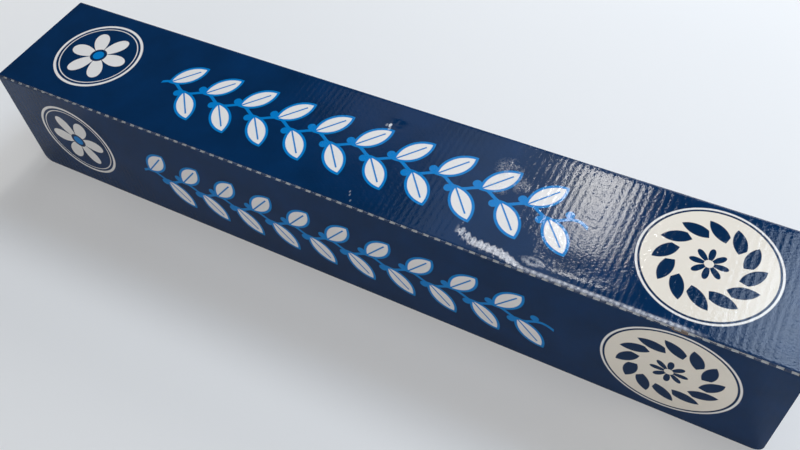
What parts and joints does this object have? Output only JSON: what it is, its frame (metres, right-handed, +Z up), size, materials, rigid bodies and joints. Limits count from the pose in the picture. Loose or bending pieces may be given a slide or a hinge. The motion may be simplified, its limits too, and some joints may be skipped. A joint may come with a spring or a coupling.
{
  "type": "boxed aluminium foil roll",
  "caption": "Long square-section corrugated carton with a hinged lid and full-height front flap, holding a wound aluminium foil roll on a paperboard core and a toothed cutter strip.",
  "frame": {"origin": "centre of the closed carton's outline on the table", "axes": "+X along the roll, -Y to the front flap, +Z up"},
  "size_m": [0.462, 0.0754, 0.0752],
  "materials": {
    "base_board": "gloss navy print outside, brown board inside",
    "printed_board": "gloss navy print with white and cream fields, brown board inside",
    "foil": "bright rolled foil",
    "core_board": "wound brown paperboard",
    "cutter_steel": "bright strip"
  },
  "bodies": {
    "carton": {"carton_base": "base_board", "foil_roll": "foil", "core_tube": "core_board", "cutter_strip": "cutter_steel"},
    "lid": {"carton_lid": "printed_board"}
  },
  "joints": [
    {"name": "lid_hinge", "type": "hinge", "parent": "carton", "child": "lid", "pos_m": [0, 0.03731, 0.07476], "axis": [-1, 0, 0], "range_deg": [0, 180]}
  ]
}
